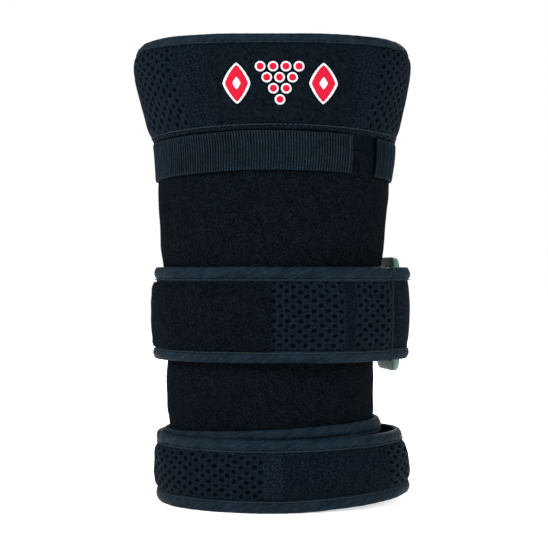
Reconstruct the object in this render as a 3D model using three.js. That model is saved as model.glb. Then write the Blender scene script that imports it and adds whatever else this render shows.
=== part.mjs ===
// A forearm and wrist support for bowling: a padded fabric tube with a flared mesh cuff,
// a ribbed webbing band, a middle strap that runs through a plastic loop, and a wrist band.
// It stands on the floor on its wrist band. The front faces -Y, and sizes are in millimetres.
import * as THREE from "three";
import { mergeVertices } from "three/addons/utils/BufferGeometryUtils.js";

// Whole tube, measured on the outer face of its fabric
const height = 240;
const cuffWidth = 144.4;
const cuffDepth = 87;
const wristWidth = 109;
const wristDepth = 68;

// Gap between pieces that touch on the real object, and the tape that binds the edges
const fit = 0.3;
const laid = 0.55;          // gap under a strap that lies round the tube, from its facets to the tube's
const tape = 0.8;
const pinch = 1.6;          // padding squeezed between the two legs of a tape
const tapeRound = 0.6;      // rounding of a tape's fold

// Sleeve and cuff
const sleeveWall = 3;
const sleeveLift = 3;       // lower edge of the sleeve above the floor
const joinHeight = 183;     // where the sleeve ends and the cuff begins, behind the webbing
const cuffSeam = 194.5;     // hem seam of the cuff, above the webbing
const cuffWall = 4.2;
const cuffPad = 1.5;        // how far the padding stands out of the hem
const hemTuck = 0.3;        // how far the hem is pulled in behind the webbing
const cuffTapeReach = 4.2;  // length of the rim tape's legs

// Patch on the front of the cuff
const patchWidth = 66;
const patchMiddle = 3.5;    // distance of its middle to the right of the middle of the cuff
const patchThickness = 1.1;

// Ribbed webbing
const webbingWidth = 19.6;
const webbingThickness = 1.2;
const webbingMiddle = 182.2;
const webbingSag = 3.4;     // how much lower it lies at the flanks than in front
const webbingFirstEnd = 55.6;
const webbingLastEnd = 398.3;

// Middle strap
const strapBottom = 74.6;
const strapWidth = 48.6;
const strapPad = 5.3;
const strapUpperReach = 6.6;
const strapLowerReach = 5.2;
const loopPanelThickness = 0.8;
const loopPanelFrom = 215;
const loopPanelTo = 359;
const strapEndWidth = 1.3;

// Plastic loop that the strap runs through, and the tab that holds it
const ringHeight = 61;
const ringWidth = 27;
const ringBar = 4.4;
const ringThickness = 3.6;
const ringCorner = 5.5;
const ringEase = 0.8;       // rounding of the bars' edges
const ringTurn = 88;        // place of the front bar on the right flank
const ringStandOff = 7.8;   // middle of the front bar, from the sleeve
const ringLean = 15;        // how far the loop turns in towards the back
const ringMiddle = 98.6;
const tabWidth = 33;
const tabLength = 24;
const tabPly = 1.3;
const tabSettle = 9;        // stretch in which the tab comes down from the bar to the strap

// Wrist band: an inner layer, and an outer one that stands away at the right flank
const bandWidth = 37;
const bandPad = 4.6;
const bandUpperReach = 5.8;
const bandLowerReach = 5.8;
const bandBulge = 6.2;      // how far it stands away at its upper edge
const bandSplay = 4.4;      // how much further at its lower edge
const bandRise = 4.6;       // how far the lower edge curls up at the right flank
const bandTilt = 1;         // how far the upper edge climbs to the right
const innerBandTop = 41.6;
const innerBandTilt = 2.8;
const innerBandPinch = 1;
const innerBandReach = 6;
const innerBandLift = 2.2;  // lower edge of the inner layer above the floor

const ringSteps = 46;
const turnStep = (2 * Math.PI) / ringSteps;

// Flare of the tube: height as a share of the whole, and how far the section has grown
// from the wrist's size towards the cuff's
const sections = [
  { up: 0, flare: 0 },
  { up: 0.19, flare: 0 },
  { up: 0.3, flare: 0.023 },
  { up: 0.417, flare: 0.102 },
  { up: 0.554, flare: 0.232 },
  { up: 0.6875, flare: 0.379 },
  { up: 0.767, flare: 0.463 },
  { up: 0.792, flare: 0.503 },
  { up: 0.825, flare: 0.65 },
  { up: 0.892, flare: 0.87 },
  { up: 0.95, flare: 0.966 },
  { up: 1, flare: 1 },
];

// Course of the strap, from its hidden end round the back to its free end in front: the turn
// in degrees, its lift as shares of the loop's height over the sleeve and of the layer below,
// and how much of its padding is left
const strapCourse = [
  { turn: 28, ring: 0, layer: 0, pad: 0.1 },
  { turn: 50, ring: 0, layer: 0, pad: 0.1 },
  { turn: 66, ring: 0.12, layer: 0, pad: 0.12 },
  { turn: 75, ring: 0.7, layer: 0, pad: 0.45 },
  { turn: 83, ring: 1.07, layer: 0, pad: 0.5 },
  { turn: 91, ring: 1.04, layer: 0, pad: 0.45 },
  { turn: 97, ring: 0.78, layer: 0, pad: 0.2 },
  { turn: 103, ring: 0.36, layer: 0, pad: 0 },
  { turn: 110, ring: 0.02, layer: 0, pad: 0 },
  { turn: 122, ring: 0, layer: 0, pad: 0 },
  { turn: 154, ring: 0, layer: 0, pad: 0.15 },
  { turn: 176, ring: 0, layer: 0, pad: 0.9 },
  { turn: 240, ring: 0, layer: 0, pad: 1 },
  { turn: 270, ring: 0.02, layer: 0, pad: 1 },
  { turn: 372, ring: 0, layer: 0, pad: 1 },
  { turn: 386, ring: 0, layer: 0.8, pad: 0.95 },
  { turn: 410, ring: 0, layer: 1.05, pad: 0.9 },
  { turn: 425, ring: 0.14, layer: 1.3, pad: 0.8 },
];

// Bulge of the outer wrist band: turn in degrees, and shares of the bulge and of the curl
const bandCourse = [
  { turn: -180, bulge: 0, curl: 0 },
  { turn: 10, bulge: 0, curl: 0 },
  { turn: 40, bulge: 0.25, curl: 0.2 },
  { turn: 70, bulge: 0.8, curl: 0.75 },
  { turn: 92, bulge: 1, curl: 1 },
  { turn: 118, bulge: 0.5, curl: 0.6 },
  { turn: 145, bulge: 0, curl: 0 },
  { turn: 180, bulge: 0, curl: 0 },
];

const radians = THREE.MathUtils.degToRad;
const mix = THREE.MathUtils.lerp;

// Smooth curve through one column of a table, read by another column
function readTable(rows, key, column, at) {
  const last = rows.length - 1;
  const place = THREE.MathUtils.clamp(at, rows[0][key], rows[last][key]);
  const i = Math.min(last - 1, Math.max(0, rows.findIndex((row) => row[key] > place) - 1));
  const from = place >= rows[last][key] ? last - 1 : i;
  const slope = (k) => {
    const [a, b] = [rows[Math.max(0, k - 1)], rows[Math.min(last, k + 1)]];
    return (b[column] - a[column]) / (b[key] - a[key]);
  };
  const span = rows[from + 1][key] - rows[from][key];
  const t = (place - rows[from][key]) / span;
  const [t2, t3] = [t * t, t * t * t];
  return (
    (2 * t3 - 3 * t2 + 1) * rows[from][column] +
    (t3 - 2 * t2 + t) * span * slope(from) +
    (3 * t2 - 2 * t3) * rows[from + 1][column] +
    (t3 - t2) * span * slope(from + 1)
  );
}

// Half width and half depth of the fabric tube at a height
function halfSizes(z) {
  const flare = readTable(sections, "up", "flare", z / height);
  return { wide: mix(wristWidth, cuffWidth, flare) / 2, deep: mix(wristDepth, cuffDepth, flare) / 2 };
}

// Point at a turn round the tube (0 in front, 90 degrees at the right) and a distance out of it
function bodyPoint(turn, z, out, sectionHeight = z) {
  const { wide, deep } = halfSizes(sectionHeight);
  const [s, c] = [Math.sin(turn), Math.cos(turn)];
  const normal = new THREE.Vector2(s / wide, -c / deep).normalize();
  return new THREE.Vector3(wide * s + normal.x * out, -deep * c + normal.y * out, z);
}

// Turn at which the tube's face is nearest to a point
function nearestTurn(point) {
  let best = 0;
  const gap = (turn) => bodyPoint(turn, point.z, 0, strapTop).distanceTo(point);
  for (let turn = 0; turn < Math.PI; turn += radians(0.25)) best = gap(turn) < gap(best) ? turn : best;
  return best;
}

// Moves every corner of a straight solid to its place round the tube, faces outwards
function bend(geometry, place) {
  geometry.deleteAttribute("normal");
  geometry.deleteAttribute("uv");
  const position = geometry.attributes.position;
  const corner = new THREE.Vector3();
  for (let i = 0; i < position.count; i += 1) {
    corner.fromBufferAttribute(position, i);
    position.setXYZ(i, ...place(corner).toArray());
  }
  const solid = mergeVertices(geometry, 1e-4);
  if (volumeOf(solid) < 0) {
    const index = solid.index.array;
    for (let i = 0; i < index.length; i += 3) [index[i], index[i + 1]] = [index[i + 1], index[i]];
  }
  return solid;
}

function volumeOf(solid) {
  const corners = [0, 1, 2].map(() => new THREE.Vector3());
  let volume = 0;
  for (let i = 0; i < solid.index.count; i += 3) {
    corners.forEach((v, k) => v.fromBufferAttribute(solid.attributes.position, solid.index.getX(i + k)));
    volume += corners[0].dot(corners[1].cross(corners[2])) / 6;
  }
  return volume;
}

// Band that closes on itself: a lathed ring, fitted to the tube
function closedBand(profile, place) {
  const radius = wristWidth;
  const points = [...profile, profile[0]].map(([out, up]) => new THREE.Vector2(radius + out, up));
  const ring = new THREE.LatheGeometry(points, ringSteps);
  return bend(ring, (p) => place(Math.atan2(p.x, p.z), Math.hypot(p.x, p.z) - radius, p.y));
}

// Band with two ends: an extruded strip, laid round the tube
function openBand(profile, from, to, place) {
  const shape = new THREE.Shape(profile.map(([out, up]) => new THREE.Vector2(out, up)));
  const steps = Math.max(1, Math.ceil(Math.abs(to - from) / turnStep));
  const strip = new THREE.ExtrudeGeometry(shape, { depth: 1, steps, bevelEnabled: false });
  return bend(strip, (p) => place(mix(from, to, p.z), p.x, p.y));
}

// Section of a tape folded over an edge: side is 1 for an upper edge and -1 for a lower one
function foldedTape(inner, outer, edge, reach, side) {
  const [innerSlot, outerSlot] = [inner - fit, outer + fit];
  const [innerLeg, outerLeg] = [innerSlot - tape, outerSlot + tape];
  const foot = edge - side * reach;
  const crown = edge + side * (fit + tape);
  return [
    [outerLeg, foot],
    [outerLeg, crown - side * tapeRound],
    [outerLeg - tapeRound, crown],
    [innerLeg + tapeRound, crown],
    [innerLeg, crown - side * tapeRound],
    [innerLeg, foot],
    [innerSlot, foot],
    [innerSlot, edge + side * fit],
    [outerSlot, edge + side * fit],
    [outerSlot, foot],
  ];
}

// Section of a padded strip whose two edges are squeezed by tapes
function paddedStrip(width, pad, pinched, lowerReach, upperReach) {
  const inner = tape + fit;
  const edge = tape + fit;
  const [low, high] = [edge + lowerReach + fit, width - edge - upperReach - fit];
  const shoulder = Math.min(2.6, (high - low) / 4);
  return [
    [inner, edge],
    [inner + pinched, edge],
    [inner + pinched, low],
    [inner + mix(pinched, pad, 0.75), low + shoulder],
    [inner + pad, (low + high) / 2],
    [inner + mix(pinched, pad, 0.75), high - shoulder],
    [inner + pinched, high],
    [inner + pinched, width - edge],
    [inner, width - edge],
  ];
}

const part = new THREE.Group();

function addPiece(name, geometry, color, roughness) {
  geometry.computeVertexNormals();
  const mesh = new THREE.Mesh(geometry, new THREE.MeshStandardMaterial({ color, roughness, metalness: 0 }));
  mesh.name = name;
  part.add(mesh);
  return mesh;
}

const loopFabric = 0x0f1317;
const spacerMesh = 0x161e27;
const bindingTape = 0x202f3c;
const webbingCloth = 0x1b242e;
const smoothCloth = 0x11151a;
const ringPlastic = 0x46564f;

// Sleeve: a plain tube of fabric, from just above the floor to behind the webbing
const strapTop = strapBottom + strapWidth;
const webbingLow = webbingMiddle - webbingSag - webbingWidth / 2;
const sleeveHeights = [
  sleeveLift,
  innerBandTop,
  strapBottom,
  strapTop,
  mix(strapTop, webbingLow, 0.5),
  webbingLow,
  joinHeight,
];
const sleeveProfile = [
  ...sleeveHeights.map((z) => [0, z]),
  ...sleeveHeights.toReversed().map((z) => [-sleeveWall, z]),
];
const onTube = (turn, out, up) => bodyPoint(turn, up, out);
addPiece("sleeve", closedBand(sleeveProfile, onTube), loopFabric, 0.95);

// Cuff: a thin hem behind the webbing, padding above its seam, squeezed again at the rim
const cuffEdge = height - tape - fit;
const cuffShoulder = cuffEdge - cuffTapeReach - fit;
const rimInner = (cuffPad - cuffWall - pinch) / 2;
const rimOuter = rimInner + pinch;
const cuffProfile = [
  [-hemTuck, joinHeight + fit],
  [-hemTuck, cuffSeam - 0.6],
  [cuffPad * 0.8, cuffSeam + 1.4],
  [cuffPad, mix(cuffSeam, cuffShoulder, 0.35)],
  [cuffPad, mix(cuffSeam, cuffShoulder, 0.75)],
  [mix(cuffPad, rimOuter, 0.35), cuffShoulder - 1.6],
  [rimOuter, cuffShoulder],
  [rimOuter, cuffEdge],
  [rimInner, cuffEdge],
  [rimInner, cuffShoulder],
  [-cuffWall, cuffShoulder - 3],
  [-cuffWall, mix(cuffSeam, cuffShoulder, 0.5)],
  [-cuffWall, cuffSeam],
  [-sleeveWall, joinHeight + fit],
];
addPiece("cuff_panel", closedBand(cuffProfile, onTube), spacerMesh, 0.9);
const cuffTape = foldedTape(rimInner, rimOuter, cuffEdge, cuffTapeReach, 1);
addPiece("cuff_binding", closedBand(cuffTape, onTube), bindingTape, 0.7);

// Patch: a thin plate that lies on the padding between the hem seam and the rim tape
const patchLow = cuffSeam + 1.6;
const patchHigh = cuffShoulder - 1.8;
const patchSection = [patchLow, mix(patchLow, patchHigh, 0.4), patchHigh];
const patchProfile = [
  ...patchSection.map((z) => [cuffPad + fit, z]),
  ...patchSection.toReversed().map((z) => [cuffPad + fit + patchThickness, z]),
];
const turnOf = (x, z) => Math.asin(x / halfSizes(z).wide);
const patchFrom = turnOf(patchMiddle - patchWidth / 2, patchLow);
const patchTo = turnOf(patchMiddle + patchWidth / 2, patchLow);
const onPatch = (turn, out, up) => {
  const share = (turn - patchFrom) / (patchTo - patchFrom);
  const across = patchMiddle + (share - 0.5) * patchWidth;
  return bodyPoint(turnOf(across, up), up, out);
};
addPiece("cuff_patch", openBand(patchProfile, patchFrom, patchTo, onPatch), smoothCloth, 0.8);

// Webbing: a flat strip that goes round behind and stops short of itself at the front right
const webbingProfile = [
  [laid, -webbingWidth / 2],
  [laid, webbingWidth / 2],
  [laid + webbingThickness, webbingWidth / 2],
  [laid + webbingThickness, -webbingWidth / 2],
];
const onWebbing = (turn, out, up) => {
  const z = webbingMiddle - webbingSag * Math.sin(turn) ** 2 + up;
  return bodyPoint(turn, z, out);
};
const webbing = openBand(webbingProfile, radians(webbingFirstEnd), radians(webbingLastEnd), onWebbing);
addPiece("webbing_band", webbing, webbingCloth, 0.75);

// Middle strap: it rises over the front bar of the loop, dips under the rear bar, goes round
// the back and the left, and ends in front on top of its own first stretch
const strapLayer = pinch + 2 * (fit + tape);
const strapOver = strapLayer + laid;
const ringRise = ringStandOff + ringThickness / 2 + fit;
const strapInner = tape + fit;
const strapRow = (turn, column) => readTable(strapCourse, "turn", column, THREE.MathUtils.radToDeg(turn));
const strapLift = (turn) => laid + strapRow(turn, "ring") * ringRise + strapRow(turn, "layer") * strapOver;
const onStrap = (turn, out, up) => {
  const padding = Math.max(0, out - strapInner - pinch) * strapRow(turn, "pad");
  const flat = Math.min(out, strapInner + pinch);
  return bodyPoint(turn, strapBottom + up, strapLift(turn) + flat + padding, strapTop);
};
const onStrapEdge = (turn, out, up) => bodyPoint(turn, strapBottom + up, strapLift(turn) + out, strapTop);
const strapStart = radians(strapCourse[0].turn);
const strapEnd = radians(strapCourse.at(-1).turn);
const strapEdge = tape + fit;
const strapSection = paddedStrip(strapWidth, strapPad, pinch, strapLowerReach, strapUpperReach);
addPiece("strap_core", openBand(strapSection, strapStart, strapEnd, onStrap), spacerMesh, 0.9);
const tapeInner = strapInner;
const tapeOuter = strapInner + pinch;
const strapUpper = foldedTape(tapeInner, tapeOuter, strapWidth - strapEdge, strapUpperReach, 1);
const strapLower = foldedTape(tapeInner, tapeOuter, strapEdge, strapLowerReach, -1);
addPiece("strap_upper_binding", openBand(strapUpper, strapStart, strapEnd, onStrapEdge), bindingTape, 0.7);
addPiece("strap_lower_binding", openBand(strapLower, strapStart, strapEnd, onStrapEdge), bindingTape, 0.7);

// Loop fabric laid on the strap's padding, from the middle of the front round the left
const panelFace = strapSection.slice(3, 6);
const panelProfile = [
  ...panelFace.map(([out, up]) => [out + fit, up]),
  ...panelFace.toReversed().map(([out, up]) => [out + fit + loopPanelThickness, up]),
];
const loopPanel = openBand(panelProfile, radians(loopPanelFrom), radians(loopPanelTo), onStrapEdge);
addPiece("strap_loop_panel", loopPanel, loopFabric, 0.95);

// Narrow pale edge across the strap's free end
const endTurn = (length) => length / halfSizes(strapTop).wide;
const endProfile = [
  [0, 0],
  [strapLayer, 0],
  [strapLayer, strapWidth],
  [0, strapWidth],
];
const endFrom = strapEnd + endTurn(fit * 2);
const endEdge = openBand(endProfile, endFrom, endFrom + endTurn(strapEndWidth * 1.4), onStrapEdge);
addPiece("strap_end_edge", endEdge, ringPlastic, 0.6);

// Plastic loop: a flat rectangle with rounded corners and eased edges
function roundedRectangle(width, tall, corner, path) {
  const [x, y] = [width / 2, tall / 2];
  path.moveTo(-x + corner, -y);
  path.lineTo(x - corner, -y);
  path.absarc(x - corner, -y + corner, corner, -Math.PI / 2, 0, false);
  path.absarc(x - corner, y - corner, corner, 0, Math.PI / 2, false);
  path.absarc(-x + corner, y - corner, corner, Math.PI / 2, Math.PI, false);
  path.absarc(-x + corner, -y + corner, corner, Math.PI, 1.5 * Math.PI, false);
  return path;
}
const ringShape = roundedRectangle(
  ringWidth - 2 * ringEase, ringHeight - 2 * ringEase, ringCorner - ringEase, new THREE.Shape());
const windowEase = 2 * (ringEase - ringBar);
ringShape.holes.push(roundedRectangle(
  ringWidth + windowEase, ringHeight + windowEase, ringCorner - ringBar + ringEase, new THREE.Path()));
const ringSolid = new THREE.ExtrudeGeometry(ringShape, {
  depth: ringThickness - 2 * ringEase,
  bevelEnabled: true,
  bevelSize: ringEase,
  bevelThickness: ringEase,
  bevelSegments: 1,
  curveSegments: 3,
});
const frontBar = bodyPoint(radians(ringTurn), ringMiddle, ringStandOff, strapTop);
const barSpacing = ringWidth - ringBar;
const backwards = new THREE.Vector3(-Math.sin(radians(ringLean)), Math.cos(radians(ringLean)), 0);
const outwards = new THREE.Vector3(backwards.y, -backwards.x, 0);
const rearBar = frontBar.clone().addScaledVector(backwards, barSpacing);
const ringCentre = frontBar.clone().lerp(rearBar, 0.5);
const ringFrame = new THREE.Matrix4().makeBasis(backwards, new THREE.Vector3(0, 0, 1), outwards);
ringFrame.setPosition(ringCentre);
const ring = bend(ringSolid, (p) => {
  const local = new THREE.Vector3(p.x, p.y, p.z - ringThickness / 2 + ringEase);
  return local.applyMatrix4(ringFrame);
});
addPiece("loop_ring", ring, ringPlastic, 0.4);

// Tab: webbing folded round the loop's rear bar, its two plies laid back along the strap
const rearTurn = nearestTurn(rearBar);
const rearOut = rearBar.distanceTo(bodyPoint(rearTurn, ringMiddle, 0, strapTop));
const tabInner = Math.max(ringBar, ringThickness) / 2 + 2 * fit;
const tabOuter = tabInner + tabPly;
const strapFace = (turn) => strapLift(turn) + strapInner + mix(pinch, strapPad, strapRow(turn, "pad"));
const tabSteps = 6;
const tabRadius = bodyPoint(rearTurn, ringMiddle, rearOut, strapTop).distanceTo(
  bodyPoint(rearTurn + turnStep, ringMiddle, rearOut, strapTop)) / turnStep;
function tabCorner(along, across) {
  const turn = rearTurn + along / tabRadius;
  const down = THREE.MathUtils.smoothstep(along, tabInner, tabSettle);
  const middle = mix(rearOut, strapFace(turn) + fit + tabPly, down);
  const { x, y } = bodyPoint(turn, ringMiddle, middle + across, strapTop);
  return new THREE.Vector2(x, y);
}
function tabArc(radius, from, to, count) {
  return Array.from({ length: count + 1 }, (_, k) => {
    const angle = mix(from, to, k / count);
    return tabCorner(radius * Math.cos(angle), radius * Math.sin(angle));
  });
}
const tabTail = (across) => Array.from({ length: tabSteps }, (_, k) =>
  tabCorner(mix(tabOuter, tabLength, (k + 1) / tabSteps), across));
const tabMouth = Math.asin(tabPly / tabOuter);
const tabPlan = new THREE.Shape([
  ...tabArc(tabOuter, tabMouth, 2 * Math.PI - tabMouth, 12),
  ...tabTail(-tabPly),
  ...tabTail(tabPly).toReversed(),
]);
tabPlan.holes.push(new THREE.Path(tabArc(tabInner, 2 * Math.PI, 0, 10).slice(1)));
const tabSolid = new THREE.ExtrudeGeometry(tabPlan, { depth: tabWidth, bevelEnabled: false });
const tabFoot = new THREE.Vector3(0, 0, ringMiddle - tabWidth / 2);
addPiece("ring_tab", bend(tabSolid, (p) => p.clone().add(tabFoot)), webbingCloth, 0.75);

// Wrist band, inner layer: it lies on the sleeve, and its rim climbs to the right
const bandTurn = (turn, column) => {
  const degrees = THREE.MathUtils.radToDeg(turn);
  return Math.max(0, readTable(bandCourse, "turn", column, degrees > 180 ? degrees - 360 : degrees));
};
const innerBandWidth = innerBandTop - innerBandLift;
const innerEdge = innerBandWidth - tape - fit;
const onInnerBand = (turn, out, up) => {
  const z = innerBandLift + up * (1 + (innerBandTilt * Math.sin(turn)) / innerBandWidth);
  return bodyPoint(turn, z, fit + out);
};
const innerFace = tape + fit;
const innerCore = [
  [innerFace, 0],
  [innerFace + innerBandPinch, 0],
  [innerFace + innerBandPinch, innerEdge],
  [innerFace, innerEdge],
];
addPiece("band_inner_core", closedBand(innerCore, onInnerBand), spacerMesh, 0.9);
const innerTape = foldedTape(innerFace, innerFace + innerBandPinch, innerEdge, innerBandReach, 1);
addPiece("band_inner_binding", closedBand(innerTape, onInnerBand), bindingTape, 0.7);

// Wrist band, outer layer: it carries the weight on its lower rim, which lies flat on the floor
// from the front round the left, and stands away from the inner layer at the right flank
const innerLayer = innerBandPinch + 2 * (fit + tape);
const onOuterBand = (turn, out, up) => {
  const share = up / bandWidth;
  const curl = bandRise * bandTurn(turn, "curl") * (1 - share);
  const z = up + curl + bandTilt * Math.max(0, Math.sin(turn)) * share;
  const splay = bandSplay * (1 - share);
  const bulge = (bandBulge + splay) * bandTurn(turn, "bulge");
  return bodyPoint(turn, z, fit + innerLayer + fit + out + bulge, bandWidth);
};
const bandEdge = tape + fit;
const bandSection = paddedStrip(bandWidth, bandPad, pinch, bandLowerReach, bandUpperReach);
addPiece("band_outer_core", closedBand(bandSection, onOuterBand), spacerMesh, 0.9);
const bandInner = tape + fit;
const bandOuter = bandInner + pinch;
const bandUpper = foldedTape(bandInner, bandOuter, bandWidth - bandEdge, bandUpperReach, 1);
const bandLower = foldedTape(bandInner, bandOuter, bandEdge, bandLowerReach, -1);
addPiece("band_upper_binding", closedBand(bandUpper, onOuterBand), bindingTape, 0.7);
addPiece("band_lower_binding", closedBand(bandLower, onOuterBand), bindingTape, 0.7);

export default part;
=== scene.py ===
# %% [markdown]
# # A bowler's forearm and wrist support
#
# The object is a padded fabric tube. From the top it has a flared cuff of spacer mesh with a
# folded tape round its rim and a smooth patch, a band of ribbed webbing, a sleeve of brushed
# loop fabric, a middle strap that runs through a plastic loop, and a padded wrist band that it
# stands on. The fixed frame holds the sizes. This script makes the cloth, tape, mesh and
# plastic round it. Everything is in metres, with the front towards -Y.

# %% Load the frame
from math import ceil, cos, hypot, pi, radians, sin, tau

import bpy
import numpy as np
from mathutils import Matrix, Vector, noise


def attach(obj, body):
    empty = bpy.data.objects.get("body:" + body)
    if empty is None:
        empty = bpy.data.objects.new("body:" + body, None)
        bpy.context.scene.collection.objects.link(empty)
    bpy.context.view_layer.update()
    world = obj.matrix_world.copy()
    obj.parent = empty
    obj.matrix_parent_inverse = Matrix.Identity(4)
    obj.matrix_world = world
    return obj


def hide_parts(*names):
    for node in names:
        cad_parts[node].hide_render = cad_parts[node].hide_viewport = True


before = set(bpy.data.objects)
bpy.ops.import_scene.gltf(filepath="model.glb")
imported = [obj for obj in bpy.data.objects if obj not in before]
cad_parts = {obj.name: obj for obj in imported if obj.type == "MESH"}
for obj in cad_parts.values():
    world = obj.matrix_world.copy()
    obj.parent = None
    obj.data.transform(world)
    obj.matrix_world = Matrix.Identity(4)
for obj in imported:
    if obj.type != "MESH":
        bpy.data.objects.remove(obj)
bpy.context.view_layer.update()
MM = 0.001


# %% [markdown]
# ## The shape that everything lies on
#
# Foam and straps hold the cloth in a tube that widens from the wrist up. Each layer could be
# lofted by itself. Here one rule gives the point at a turn round the tube, a height and a
# distance out of it, so that layers can lie on one another. The section is an ellipse, squarer
# towards the rim. One table gives the flare, and a second leans the soft tube up to 1.5 mm
# sideways. The front is turn 0 and the right flank is 90 degrees.

# %% The tube and its measures
HEIGHT = 240 * MM
WRIST = np.array([109, 68]) * MM / 2
CUFF = np.array([144.4, 87]) * MM / 2
FLARE_UP = [0, 0.19, 0.3, 0.417, 0.554, 0.6875, 0.767, 0.792, 0.825, 0.892, 0.95, 1]
FLARE = [0, 0, 0.023, 0.102, 0.232, 0.379, 0.463, 0.503, 0.65, 0.87, 0.966, 1]
LEAN_UP = [0, 0.14, 0.19, 0.3, 0.38, 0.55, 0.62, 0.70, 0.76, 0.82, 0.9, 1]
LEAN = np.array([0.6, 0.6, -0.9, -0.9, 0.1, 0, 0.1, 0.9, 1.5, 0.7, 0.2, 0]) * MM
RIM_SQUARENESS = 0.8


def smoothstep(low, high, x):
    t = np.clip((x - low) / (high - low), 0, 1)
    return t * t * (3 - 2 * t)


def between(a, b, c, d, x):
    """1 from b to c, and 0 before a and after d, with smooth steps."""
    return smoothstep(a, b, x) * (1 - smoothstep(c, d, x))


def smooth_table(keys, values, at):
    """A smooth curve through a table's rows, for a whole array at once."""
    keys, values = np.asarray(keys, float), np.asarray(values, float)
    wide_keys, wide_values = np.pad(keys, 1, "edge"), np.pad(values, 1, "edge")
    slopes = (wide_values[2:] - wide_values[:-2]) / (wide_keys[2:] - wide_keys[:-2])
    at = np.clip(at, keys[0], keys[-1])
    i = np.clip(np.searchsorted(keys, at, side="right") - 1, 0, len(keys) - 2)
    span = keys[i + 1] - keys[i]
    t = (at - keys[i]) / span
    return (
        (2 * t**3 - 3 * t**2 + 1) * values[i]
        + (t**3 - 2 * t**2 + t) * span * slopes[i]
        + (3 * t**2 - 2 * t**3) * values[i + 1]
        + (t**3 - t**2) * span * slopes[i + 1]
    )


def half_sizes(height):
    flare = smooth_table(FLARE_UP, FLARE, np.asarray(height) / HEIGHT)
    return [WRIST[k] + (CUFF[k] - WRIST[k]) * flare for k in (0, 1)]


def on_tube(turn, height, out, section=None):
    """Points in m on the tube. A flat strap gives the one height whose section it follows."""
    turn, height, out = np.broadcast_arrays(turn, height, out)
    wide, deep = half_sizes(height if section is None else section)
    s, c = np.sin(turn), np.cos(turn)
    nx, ny = s / wide, -c / deep
    length = np.hypot(nx, ny)
    power = 2 + RIM_SQUARENESS * smoothstep(0.78, 1, height / HEIGHT)
    fuller = (abs(s) ** power + abs(c) ** power) ** (-1 / power)
    lean = smooth_table(LEAN_UP, LEAN, height / HEIGHT)
    x = wide * s * fuller + nx / length * out + lean
    return np.stack([x, -deep * c * fuller + ny / length * out, height], axis=-1)


def waves(points, size, seed):
    """Soft unevenness between about -1 and 1 that lasts about the given size."""
    shift = Vector((seed * 7.3, seed * 3.1, seed * 5.7))
    return np.array([noise.noise(Vector(p) / size + shift) for p in points]) * 1.6


print("half sizes at mid height in mm:", [round(float(x) / MM, 1) for x in half_sizes(0.12)])

# %% [markdown]
# ## Shader maths in plain Python
#
# A fabric's look is worked out from the place on its cloth. Nodes could be linked one by one,
# but a few formulas would fill pages. A wrapped socket lets an expression such as
# `yarn * 0.5 + dark` add its Math nodes, and one method makes any other node.

# %% The socket wrapper
class Wire:
    """A node's output that works in Python expressions."""

    def __init__(self, paint, socket):
        self.paint, self.socket = paint, socket

    def math(self, operation, *terms):
        return self.paint.node("ShaderNodeMath", {"operation": operation}, *terms)

    def __rsub__(self, other):
        return self.math("SUBTRACT", other, self)

    def sin(self):
        return self.math("SINE", self)

    def ramp(self, low, high):
        """0 below low and 1 above high, with a smooth step between."""
        return self.paint.node(
            "ShaderNodeMapRange", {"interpolation_type": "SMOOTHSTEP"}, self, low, high, 0.0, 1.0)


OPERATIONS = {
    "__add__": "ADD", "__radd__": "ADD", "__sub__": "SUBTRACT", "__mul__": "MULTIPLY",
    "__rmul__": "MULTIPLY", "__truediv__": "DIVIDE", "__pow__": "POWER", "least": "MINIMUM",
    "__gt__": "GREATER_THAN", "__lt__": "LESS_THAN", "pingpong": "PINGPONG",
}
for method, operation in OPERATIONS.items():
    setattr(Wire, method, lambda wire, other, kind=operation: wire.math(kind, wire, other))


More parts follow.
